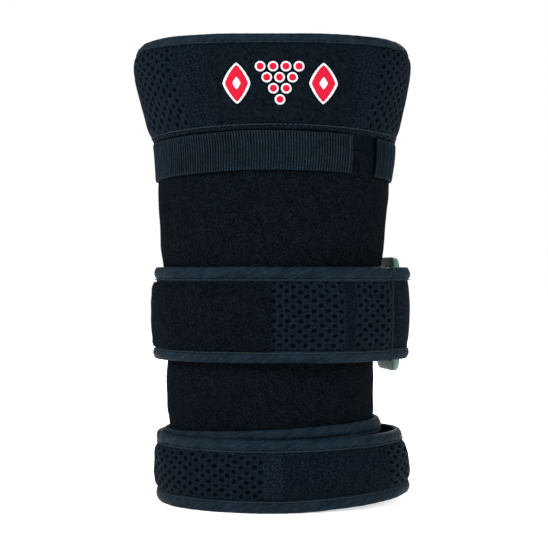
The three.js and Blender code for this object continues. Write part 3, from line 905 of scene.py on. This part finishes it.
def thread_line(name, stitches, lay_thread):
    """A thread laid by lay_thread(share of its way, angle round it, how far it rises in mm)."""
    def place(u, v):
        rise = np.clip(np.sin(u * stitches % 1 * tau) + 0.45, -0.7, 0.75) * 0.45
        return lay_thread(u, v * tau, rise)

    return floss_piece(name, stitches * 8, 6, place, thread, "binding_tape")


def stitch_line(name, course, lay, out, up, pitch=3.0, radius=0.24):
    """A seam that goes round with a strip."""
    return thread_line(name, round(course.length / MM / pitch), lambda u, angle, rise: lay(
        course.turn(u), out + rise - radius * np.cos(angle), up + radius * 1.1 * np.sin(angle)))


stitch_line("rim_stitches", RIM_ROUND, on_cuff, 0.05, 235.5)
stitch_line("hem_stitches", CUFF_ROUND, on_cuff, 1.05, 194.9, pitch=2.8)

# %% [markdown]
# ## Patch on the cuff
#
# A smooth rectangle of cloth is sewn over the padding. It could be cut out of the cuff's grid,
# but it lies on the mesh as a second layer. So it is a grid that follows the cuff, with a narrow
# raised strip up each side and its edges turned down.

# %% Patch
PATCH_MIDDLE, PATCH_WIDTH = 3.5, 66
PATCH_LOW, PATCH_HIGH = 196.1, 232.6


def on_patch(across, out, up):
    """across is the distance in mm to the right of the middle of the cuff."""
    wide, _ = half_sizes(up * MM)
    return on_body(np.arcsin(across * MM / wide), out, up)


def patch_place(u, v):
    across = PATCH_MIDDLE + (u - 0.5) * PATCH_WIDTH
    up = PATCH_LOW + v * (PATCH_HIGH - PATCH_LOW)
    from_side = PATCH_WIDTH / 2 - abs(across - PATCH_MIDDLE)
    from_rim = np.minimum(up - PATCH_LOW, PATCH_HIGH - up)
    strip = 0.45 * between(0, 0.8, 3.6, 4.4, from_side)
    groove = 0.3 * between(3.6, 4.4, 4.8, 5.8, from_side)
    down = 0.9 * (1 - smoothstep(0, 1.6, np.minimum(from_side, from_rim)))
    points = on_patch(across, 0, up)
    uneven = waves(points, 14 * MM, 8) * 0.3 + waves(points, 4 * MM, 9) * 0.06
    return on_patch(across, 2.75 + strip - groove - down + uneven, up)


patch_map = evenly(PATCH_WIDTH, PATCH_HIGH - PATCH_LOW)
patch = cloth_grid("patch_cloth", 110, 62, patch_place, patch_map)
apply_modifier(patch, "SOLIDIFY", thickness=0.9 * MM, offset=-1)
finish_piece(patch, patch_cloth, "patch_cloth", "cuff_patch")

# %% [markdown]
# ## Stitched design
#
# The patch carries a plain design: ten pin dots in a triangle between two diamonds, each a low
# dome of red floss in a round white cord. It could be an image, but real floss stands up. One
# function takes any outline, as a place for each angle, so all are made the same way.

# %% Outlines, domes and cords
def dome(name, outline, across, up, reach, paint, height=0.45, base=3.05):
    """A raised filled shape: outline(angle) gives its rim as a share of reach, in mm."""
    def place(u, v):
        angle, out_share = u * tau, 1 - v
        dx, dz = outline(angle)
        rise = height * np.sqrt(np.clip(1 - out_share**2, 0, 1))
        satin = 0.05 * np.sin((dx * out_share * reach) * tau / 0.42)
        high, shift = base + rise + satin * v, reach * out_share
        return on_patch(across + dx * shift, high, up + dz * shift)

    return floss_piece(name, 48, 10, place, paint, "patch_cloth")


def border(name, outline, across, up, reach, paint, radius=0.55, base=3.1):
    """A round cord of stitches along the same outline."""
    def place(u, v):
        dx, dz = outline(u * tau)
        length = np.hypot(dx, dz)
        side = radius * np.sin(v * tau)
        twist = 0.06 * np.sin(u * tau * round(reach * 7) + v * tau)
        return on_patch(
            across + dx * reach + dx / length * side, base + radius * 0.8 * np.cos(v * tau) + twist,
            up + dz * reach + dz / length * side)

    return floss_piece(name, 96, 8, place, paint, "patch_cloth")


def circle(angle):
    return np.cos(angle), np.sin(angle)


def diamond(angle):
    c, s = np.cos(angle), np.sin(angle)
    scale = (abs(c / 0.62) ** 1.25 + abs(s) ** 1.25) ** (-1 / 1.25)
    return c * scale, s * scale


print("outlines: circle and diamond")

# %% Pin dots and diamonds
MOTIF_MIDDLE, MOTIF_HIGH, PIN_STEP, PIN_ROW = 3.5, 222.8, 6.2, 5.394
DIAMOND_ASIDE, DIAMOND_UP = 20.5, 214.6
for row, pins in enumerate([4, 3, 2, 1]):
    for k in range(pins):
        across = MOTIF_MIDDLE + (k - (pins - 1) / 2) * PIN_STEP
        up = MOTIF_HIGH - row * PIN_ROW
        dome(f"pin_dot_{row}_{k}", circle, across, up, 1.9, red_floss)
        border(f"pin_rim_{row}_{k}", circle, across, up, 2.1, white_floss, radius=0.45)
for side in (-1, 1):
    across = MOTIF_MIDDLE + side * DIAMOND_ASIDE
    dome(f"diamond_fill_{side + 1}", diamond, across, DIAMOND_UP, 9.2, red_floss)
    border(f"diamond_rim_{side + 1}", diamond, across, DIAMOND_UP, 9.5, white_floss, radius=0.6)
    dome(f"diamond_heart_{side + 1}", diamond, across, DIAMOND_UP, 3.2, white_floss, 0.35, 3.35)

# %% [markdown]
# ## A band of webbing
#
# A flat woven band goes round the back and stops short of itself in front. It could be smooth
# with a bump, but its ribs are coarse enough to show along its outline. So they are real waves
# that fade out in the selvedges. One cut end is thicker, where it is turned in and stitched.

# %% Webbing
WEBBING = Course(radians(55.6), radians(398.3), 182 * MM, 1.2 * MM)
WEBBING_UP, WEBBING_SAG, HALF_WEBBING = 182.2, 3.4, 9.8


def on_webbing(turn, out, up):
    """The band sags a little at both flanks."""
    return on_body(turn, out, WEBBING_UP - WEBBING_SAG * np.sin(turn) ** 2 + up)


def webbing_lay(turn, out, up):
    along = WEBBING.share(turn) * WEBBING.length / MM
    ribs = 0.24 * np.sin(along * tau / RIB) * (1 - smoothstep(8.6, 9.5, abs(up)))
    end = 0.35 * (1 - smoothstep(0.5, 4.5, WEBBING.length / MM - along))
    points = on_webbing(turn, out, up)
    uneven = waves(points, 22 * MM, 11) * 0.3
    return on_webbing(turn, out + ribs + end + uneven, up + waves(points, 30 * MM, 12) * 0.25)


webbing_line = section_rows([(1.5, -HALF_WEBBING, 0.65), (1.75, 0, 0.65), (1.5, HALF_WEBBING, 0)])
webbing = sweep("webbing_cloth", webbing_line, WEBBING, 0.42, webbing_lay, solid=(1.1, -1))
finish_piece(webbing, webbing_cloth, "webbing", "webbing_band")
END_STITCHES, END_RADIUS, HALF_SLEEVE = 9, 0.28, 62
thread_line("webbing_end_stitches", END_STITCHES, lambda u, angle, rise: on_webbing(
    radians(396.6) + END_RADIUS / HALF_SLEEVE * np.sin(angle),
    2.0 + rise + END_RADIUS * np.cos(angle), -9 + u * 18))
print("ribs:", round(WEBBING.length / MM / RIB))

# %% [markdown]
# ## The middle strap
#
# The padded strap rises over the loop's front bar, dips under the rear bar, goes round the back
# and ends on top of its own first stretch. It could be pulled tight by a simulation, but its way
# is known. So a table says at each turn how far the loop lifts it, whether it lies on itself,
# and how much of its padding is left.

# %% How the strap lies
STRAP_BOTTOM, STRAP_WIDTH = 75.1, 48.6
STRAP_TOP = (STRAP_BOTTOM + STRAP_WIDTH) * MM
AT_REST, OVER_RING, OVER_LAYER = 0.55, 9.9, 4.35
STRAP_COURSE = np.array([
    # turn, ring, layer, pad
    (28, 0, 0, 0.1), (50, 0, 0, 0.1), (66, 0.12, 0, 0.12), (75, 0.7, 0, 0.45),
    (83, 1.07, 0, 0.5), (91, 1.04, 0, 0.45), (97, 0.78, 0, 0.2), (103, 0.36, 0, 0),
    (110, 0.02, 0, 0), (122, 0, 0, 0), (154, 0, 0, 0.15), (176, 0, 0, 0.9),
    (240, 0, 0, 1), (270, 0.02, 0, 1), (372, 0, 0, 1), (386, 0, 0.8, 0.95),
    (410, 0, 1.05, 0.9), (425, 0.14, 1.3, 0.8),
])
# The core's inner face, its face where a tape squeezes it, and how far its edge lies in the tape
INNER, SQUEEZED, EDGE = 1.1, 2.7, 1.1


def strap_row(turn, column):
    return smooth_table(STRAP_COURSE[:, 0], STRAP_COURSE[:, column], np.degrees(turn))


def strap_lift(turn):
    return AT_REST + OVER_RING * strap_row(turn, 1) + OVER_LAYER * strap_row(turn, 2)


def on_strap_edge(turn, out, up):
    return on_tube(turn, (STRAP_BOTTOM + up) * MM, (strap_lift(turn) + out) * MM, STRAP_TOP)


def on_strap(turn, out, up):
    """Padding above the squeezed layer is flattened where the strap is pulled tight."""
    padding = np.maximum(0, out - SQUEEZED) * strap_row(turn, 3)
    return on_strap_edge(turn, np.minimum(out, SQUEEZED) + padding, up)


STRAP_ROUND = Course(radians(28), radians(425), 110 * MM, 4 * MM)
print("length of the strap in mm:", round(STRAP_ROUND.length / MM, 1))


# %% Strap core
def cushion(pad, low, high, rows):
    """Face of a padded strip between its tapes: steep at the seams, and flat in the middle."""
    t = np.linspace(0, 1, rows)
    foot = SQUEEZED - INNER + TAPE_OVER
    rise = (1 - abs(2 * t - 1) ** 2.6) ** 0.9
    return [(INNER + foot + (pad - foot) * r, low + (high - low) * s, 0.9) for s, r in zip(t, rise)]


def padded_section(width, pad, low, high, rows):
    """A strip whose padding stands up between low and high and whose edges are squeezed."""
    return section_rows([
        (INNER, EDGE, 1), (SQUEEZED, EDGE, 2), (SQUEEZED, low - 0.3, 0.5),
        *cushion(pad, low, high, rows), (SQUEEZED, high + 0.3, 2),
        (SQUEEZED, width - EDGE, 2), (INNER, width - EDGE, 4), (INNER, EDGE, 0)])


def cap_ends(piece):
    only(piece)
    bpy.ops.object.mode_set(mode="EDIT")
    bpy.ops.mesh.select_mode(type="EDGE")
    bpy.ops.mesh.select_all(action="DESELECT")
    bpy.ops.mesh.select_non_manifold()
    bpy.ops.mesh.fill_holes(sides=0)
    bpy.ops.mesh.select_all(action="SELECT")
    bpy.ops.mesh.normals_make_consistent(inside=False)
    bpy.ops.object.mode_set(mode="OBJECT")


SEAM_TURN, SEAM_DEPTH = 397.5, 1.3
STRAP_PAD = 4.7
STRAP_LOW, STRAP_HIGH = 6.4, 40.8
strap_puff = puckers(STRAP_ROUND, on_strap, out=4.5, low=STRAP_LOW, high=STRAP_HIGH)


def strap_lay(turn, out, up):
    """Padding with a groove at its cross seam, uneven, and puckered between the tapes."""
    face = smoothstep(SQUEEZED, 3.4, out)
    seam = np.exp(-(((np.degrees(turn) - SEAM_TURN) / 2.2) ** 2)) * face
    points = on_strap(turn, out, up)
    uneven = waves(points, 16 * MM, 14) * 0.4 + waves(points, 5 * MM, 15) * 0.12
    across = (up - STRAP_LOW) / (STRAP_HIGH - STRAP_LOW)
    puff = strap_puff(STRAP_ROUND.share(turn), across) * face
    lumps = uneven * smoothstep(SQUEEZED, 3.2, out)
    return on_strap(turn, out - SEAM_DEPTH * seam + lumps + puff, up)


strap_plain = stretches(STRAP_ROUND, (SEAM_TURN - 3, SEAM_TURN + 3), (28, 150), (213, 357))
strap_mesh = mesh_paint("strap_spacer_mesh", plain=strap_plain, tones=[(*strap_plain[0], -0.22)])
strap_line = padded_section(STRAP_WIDTH, STRAP_PAD, STRAP_LOW, STRAP_HIGH, rows=62)
strap = sweep("strap_mesh", strap_line, STRAP_ROUND, 0.66, strap_lay)
press_holes(strap, depth=0.8, plain=strap_plain, edge=(9.3, 44.5))
cap_ends(strap)
finish_piece(strap, strap_mesh, "spacer_mesh", "strap_core", angle=70)

# %% [markdown]
# ## The strap's tapes and its end
#
# Two folded tapes bind the long edges, and a narrow pale edging closes the free end. They could
# be part of the core, but two sewn cloths are never one surface. The tapes are made as the rim
# tape is, and the edging is a thin bar with rounded corners.

# %% Strap tapes, stitches and pale end
EDGE_HIGH = STRAP_WIDTH - EDGE
LOW_REACH, HIGH_REACH = 5.2, 6.6
SEAM_OUT, SEAM_IN = 3.55, 1


def bevel(piece, width, segments=2):
    apply_modifier(
        piece, "BEVEL", width=width * MM, segments=segments, limit_method="ANGLE", angle_limit=radians(50))


strap_high = tape_line(INNER, SQUEEZED, EDGE_HIGH, HIGH_REACH, side=1)
strap_low = tape_line(INNER, SQUEEZED, EDGE, LOW_REACH, side=-1)
bind("strap_high_tape", "strap_upper_binding", strap_high, STRAP_ROUND, on_strap_edge)
bind("strap_low_tape", "strap_lower_binding", strap_low, STRAP_ROUND, on_strap_edge)
HIGH_SEAM, LOW_SEAM = EDGE_HIGH - HIGH_REACH + SEAM_IN, EDGE + LOW_REACH - SEAM_IN
stitch_line("strap_high_stitches", STRAP_ROUND, on_strap_edge, SEAM_OUT, HIGH_SEAM)
stitch_line("strap_low_stitches", STRAP_ROUND, on_strap_edge, SEAM_OUT, LOW_SEAM)

END_ROUND = Course(radians(425.4), radians(427.6), 110 * MM, 4 * MM)
END_OUT, END_IN = 3.9, -0.1
end_line = section_rows([
    (END_OUT, 0, 0.6), (END_OUT, STRAP_WIDTH, 0.6), (END_IN, STRAP_WIDTH, 0.6), (END_IN, 0, 0.6),
    (END_OUT, 0, 0)])
end_edge = sweep("strap_end_trim", end_line, END_ROUND, 0.5, bumpy(on_strap_edge, (6, 0.15, 16)))
cap_ends(end_edge)
bevel(end_edge, 0.3)
finish_piece(end_edge, edge_cloth, "edge_tape", "strap_end_edge")

# %% [markdown]
# ## Loop fabric on the strap
#
# The left half of the strap's front is brushed loop fabric. It could be a second paint on the
# core, but its edge stands up. So it is a sheet that lies on the padding and shares its lumps.

# %% Loop panel
PANEL_ROUND = Course(radians(215), radians(359), 110 * MM, 6 * MM)
PANEL_THICK, PANEL_OUT = 0.9, 1.1
panel_face = [(out + PANEL_OUT, up, step) for out, up, step in cushion(STRAP_PAD, 6.55, 40.75, 40)]
panel_line = section_rows(panel_face)
panel = sweep("strap_loop_cloth", panel_line, PANEL_ROUND, 0.8, strap_lay, solid=(PANEL_THICK, -1))
bevel(panel, 0.25)
finish_piece(panel, loop_fabric, "loop_fabric", "strap_loop_panel")

# %% [markdown]
# ## The plastic loop
#
# The loop is moulded plastic: a flat rectangle with round corners. It could be a bent tube, but
# its bars are flat and differ in width. So a plane is rounded and inset, and the frame that
# stays is pulled to thickness and beveled.

# %% Loop
RING_TURN, RING_MIDDLE, RING_LEAN = radians(88), 98.6, radians(15)
RING_WIDTH, RING_HEIGHT, RING_BAR, RING_THICKNESS = 27, 61, 4.4, 3.6
RING_END_BAR, RING_CORNER, RING_ROUNDING, RING_OUT = 6.0, 5.5, 1.3, 7.8
front_bar = on_tube(RING_TURN, RING_MIDDLE * MM, RING_OUT * MM, STRAP_TOP)
backwards = np.array([-sin(RING_LEAN), cos(RING_LEAN), 0])
outwards = np.array([cos(RING_LEAN), sin(RING_LEAN), 0])
rear_bar = front_bar + backwards * (RING_WIDTH - RING_BAR) * MM

bpy.ops.object.select_all(action="DESELECT")
bpy.ops.mesh.primitive_plane_add(size=1)
loop_ring = bpy.context.object
loop_ring.name = "ring_plastic"
move_corners(loop_ring, corners(loop_ring) * np.array([RING_WIDTH, RING_HEIGHT, 1]) * MM)
bpy.ops.object.mode_set(mode="EDIT")
bpy.ops.mesh.select_all(action="SELECT")
bpy.ops.mesh.bevel(offset=RING_CORNER * MM, segments=8, affect="VERTICES")
bpy.ops.mesh.inset(thickness=RING_BAR * MM, depth=0)
bpy.ops.mesh.delete(type="FACE")
bpy.ops.object.mode_set(mode="OBJECT")
flat = corners(loop_ring)
opening = np.array([RING_WIDTH, RING_HEIGHT]) / 2 - RING_BAR + 0.1
inside = (abs(flat[:, :2]) < opening * MM).all(axis=1)
flat[inside, 1] *= (RING_HEIGHT / 2 - RING_END_BAR) / (RING_HEIGHT / 2 - RING_BAR)
move_corners(loop_ring, flat)
bpy.ops.object.mode_set(mode="EDIT")
bpy.ops.mesh.select_all(action="SELECT")
bpy.ops.mesh.extrude_region_move(TRANSFORM_OT_translate={"value": (0, 0, RING_THICKNESS * MM)})
bpy.ops.mesh.select_all(action="SELECT")
bpy.ops.mesh.normals_make_consistent(inside=False)
bpy.ops.object.mode_set(mode="OBJECT")
bevel(loop_ring, RING_ROUNDING, segments=5)
local = corners(loop_ring)
centre = (front_bar + rear_bar) / 2
move_corners(loop_ring, centre + local[:, :1] * backwards + local[:, 1:2] * np.array([0, 0, 1])
             + (local[:, 2:] - RING_THICKNESS * MM / 2) * outwards)
finish_piece(loop_ring, ring_plastic, "ring_plastic", "loop_ring")

# %% [markdown]
# ## The tab of the loop
#
# A short piece of webbing is folded round the rear bar and sewn down behind it. It could be
# draped by a simulation, but it has only one way to go. So its sheet follows a drawn line: one
# ply in, once round the bar, and the other ply back.

# %% Tab round the rear bar
rear_turns = np.radians(np.arange(60, 170, 0.1))
rear_line = on_tube(rear_turns, RING_MIDDLE * MM, 0, STRAP_TOP)
nearest = int(np.argmin(np.linalg.norm(rear_line - rear_bar, axis=1)))
REAR_TURN = float(rear_turns[nearest])
REAR_OUT = float(np.linalg.norm(rear_line[nearest] - rear_bar)) / MM
TAB_RADIUS, TAB_LENGTH, TAB_WIDTH, TAB_HALF = 3.45, 24, 33, 0.66
NUDGE = 0.01


def behind_ring(turn):
    return on_tube(turn, RING_MIDDLE * MM, REAR_OUT * MM, STRAP_TOP)


per_turn = float(np.linalg.norm(behind_ring(REAR_TURN + NUDGE) - behind_ring(REAR_TURN))) / MM / NUDGE


def strap_face(turn):
    return strap_lift(turn) + SQUEEZED + (STRAP_PAD + INNER - SQUEEZED) * strap_row(turn, 3)


def tab_place(along, across, up):
    """Along the tab from the bar, across its two plies, and up, in mm."""
    turn = REAR_TURN + along / per_turn
    down = smoothstep(2.8, 9, along)
    middle = REAR_OUT + (strap_face(turn) + 1.6 - REAR_OUT) * down
    return on_tube(turn, up * MM, (middle + across) * MM, STRAP_TOP)


mouth = np.linspace(radians(11), tau - radians(11), 40)
tail = np.linspace(TAB_RADIUS + 0.4, TAB_LENGTH, 50)
tab_path = np.concatenate([
    np.stack([tail[::-1], np.full(50, TAB_HALF)], axis=1),
    np.stack([TAB_RADIUS * np.cos(mouth), TAB_RADIUS * np.sin(mouth)], axis=1),
    np.stack([tail, np.full(50, -TAB_HALF)], axis=1)])
tab_steps = run(tab_path)
TAB_FLAT = float(tab_steps[-1])


def tab_sheet(u, v):
    at = u * TAB_FLAT
    along, across = (np.interp(at, tab_steps, tab_path[:, k]) for k in (0, 1))
    up = RING_MIDDLE + (v - 0.5) * TAB_WIDTH
    edge = 1 - smoothstep(15, 16.3, abs(up - RING_MIDDLE))
    flare = np.sign(across + 1e-6) * 0.1 * np.cos(at * tau / RIB) * edge
    return tab_place(along, across + flare, up)


tab = cloth_grid("tab_webbing", 200, 44, tab_sheet, evenly(TAB_FLAT, TAB_WIDTH))
apply_modifier(tab, "SOLIDIFY", thickness=1.1 * MM, offset=0)
finish_piece(tab, webbing_cloth, "webbing", "ring_tab")
print("flat length of the tab in mm:", round(TAB_FLAT, 1))

# %% [markdown]
# ## The wrist band's inner layer
#
# The band has two layers. The inner one lies on the sleeve, and only its bound rim shows in
# front. It could stop below the rim, but its depth shows from below. It is a thin plain ring.

# %% Inner layer
INNER_BAND, INNER_FACE, INNER_REACH = 39.4, 2.1, 6
INNER_OUT, INNER_UP, INNER_WIDER = 0.3, 2.2, 2.8
INNER_EDGE = INNER_BAND - EDGE


def on_inner_band(turn, out, up):
    """The layer is a little wider at the right flank and narrower at the left."""
    return on_body(turn, INNER_OUT + out, INNER_UP + up * (1 + INNER_WIDER * np.sin(turn) / INNER_BAND))


BAND_ROUND = Course(-pi, pi, 18 * MM, 5 * MM)
inner_section = section_rows([
    (INNER, 0, 1), (INNER_FACE, 0, 1.5), (INNER_FACE, INNER_EDGE, 1), (INNER, INNER_EDGE, 3),
    (INNER, 0, 0)])
inner_core = sweep("inner_band_mesh", inner_section, BAND_ROUND, 1.5, on_inner_band)
finish_piece(inner_core, strap_mesh, "spacer_mesh", "band_inner_core")
inner_line = tape_line(INNER, INNER_FACE, INNER_EDGE, INNER_REACH, side=1)
bind("inner_band_tape", "band_inner_binding", inner_line, BAND_ROUND, on_inner_band)
stitch_line("inner_band_stitches", BAND_ROUND, on_inner_band, 2.95, INNER_EDGE - 4.9)

# %% [markdown]
# ## The wrist band's outer layer
#
# The outer layer is padded mesh, bound on both edges, that stands away at the right flank and
# carries the whole support. It could be bent by hand from a plain ring. Here a table of turns
# says how far it bulges and curls, and core, tapes and stitches all ask it, so they stay
# together.

# %% How the outer layer lies
BAND_WIDTH, BAND_OUT = 37, 3.8
BULGE_HIGH, BULGE_MORE_LOW, CURL_UP = 6.2, 4.4, 4.6
BAND_COURSE = np.array([
    # turn, bulge, curl
    (-180, 0, 0), (5, 0, 0), (40, 0.25, 0.4), (70, 0.8, 0.9),
    (92, 1, 1), (118, 0.5, 0.6), (145, 0, 0), (180, 0, 0),
])


def on_outer_band(turn, out, up):
    """The layer stands away most at its lower edge, which curls up there."""
    degrees_round = (np.degrees(turn) + 180) % 360 - 180
    bulge = np.maximum(0, smooth_table(BAND_COURSE[:, 0], BAND_COURSE[:, 1], degrees_round))
    curl = np.maximum(0, smooth_table(BAND_COURSE[:, 0], BAND_COURSE[:, 2], degrees_round))
    share = up / BAND_WIDTH
    z = up + CURL_UP * curl * (1 - share) + np.maximum(0, np.sin(turn)) * share
    away = BAND_OUT + out + (BULGE_HIGH + BULGE_MORE_LOW * (1 - share)) * bulge
    return on_tube(turn, z * MM, away * MM, BAND_WIDTH * MM)


BAND_PLAIN = stretches(BAND_ROUND, (-5, 4.5), (84, 90))
BAND_FINE = stretches(BAND_ROUND, (4.5, 62))
print("once round the wrist band in mm:", round(BAND_ROUND.length / MM, 1))

# %% Outer layer
band_tones = [(*BAND_PLAIN[0], 0.3), (*BAND_FINE[0], -0.1)]
band_mesh = mesh_paint("band_spacer_mesh", fine=BAND_FINE, plain=BAND_PLAIN, tones=band_tones)
BAND_PAD, BAND_REACH = 4.6, 5.8
BAND_LOW, BAND_HIGH = 7.0, 30.0
band_puff = puckers(BAND_ROUND, on_outer_band, out=4, low=BAND_LOW, high=BAND_HIGH)


def band_lay(turn, out, up):
    """Padding with a raised plain stretch in front, uneven, and puckered between the tapes."""
    face = smoothstep(SQUEEZED, 3.2, out)
    raised = 0.35 * between(-6, -5, 4, 5, np.degrees(turn))
    points = on_outer_band(turn, out, up)
    uneven = waves(points, 15 * MM, 18) * 0.5 + waves(points, 5 * MM, 19) * 0.14
    across = (up - BAND_LOW) / (BAND_HIGH - BAND_LOW)
    puff = band_puff(BAND_ROUND.share(turn), across)
    return on_outer_band(turn, out + (uneven + puff + raised) * face, up)


band_line = padded_section(BAND_WIDTH, BAND_PAD, BAND_LOW, BAND_HIGH, rows=40)
band = sweep("band_mesh", band_line, BAND_ROUND, 0.66, band_lay)
press_holes(band, depth=0.8, fine=BAND_FINE, plain=BAND_PLAIN, edge=(10, 31))
finish_piece(band, band_mesh, "spacer_mesh", "band_outer_core", angle=70)

# %% Tapes of the outer layer
for name, node, edge, side in [
    ("high", "band_upper_binding", BAND_WIDTH - EDGE, 1),
    ("low", "band_lower_binding", EDGE, -1),
]:
    line = tape_line(INNER, SQUEEZED, edge, BAND_REACH, side)
    bind(f"band_{name}_tape", node, line, BAND_ROUND, on_outer_band)
    seam = edge - side * (BAND_REACH - SEAM_IN)
    stitch_line(f"band_{name}_stitches", BAND_ROUND, on_outer_band, SEAM_OUT, seam)
